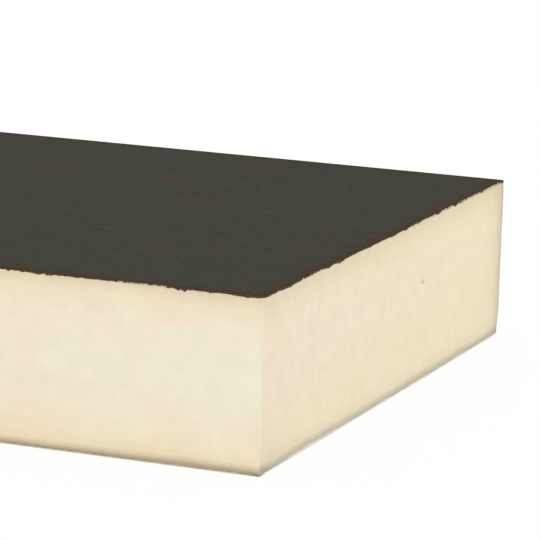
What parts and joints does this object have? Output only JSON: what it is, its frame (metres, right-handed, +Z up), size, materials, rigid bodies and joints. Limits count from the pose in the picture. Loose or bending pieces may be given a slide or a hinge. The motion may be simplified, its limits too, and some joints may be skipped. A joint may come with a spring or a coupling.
{
  "type": "polyiso insulation board",
  "caption": "Flat rigid foam insulation board with square sawn edges, a cream core between dark glass-mat facers on its upper side and underside.",
  "frame": {"origin": "middle of the board's underside", "axes": "+X along the board's length, +Y across its width, +Z up through its thickness"},
  "size_m": [1.2, 0.6, 0.15],
  "materials": {
    "foam": "sawn closed-cell foam, dead matt",
    "facer": "coated glass mat, matt charcoal"
  },
  "bodies": {
    "root": {"foam_core": "foam", "top_facer": "facer", "bottom_facer": "facer"}
  },
  "joints": []
}
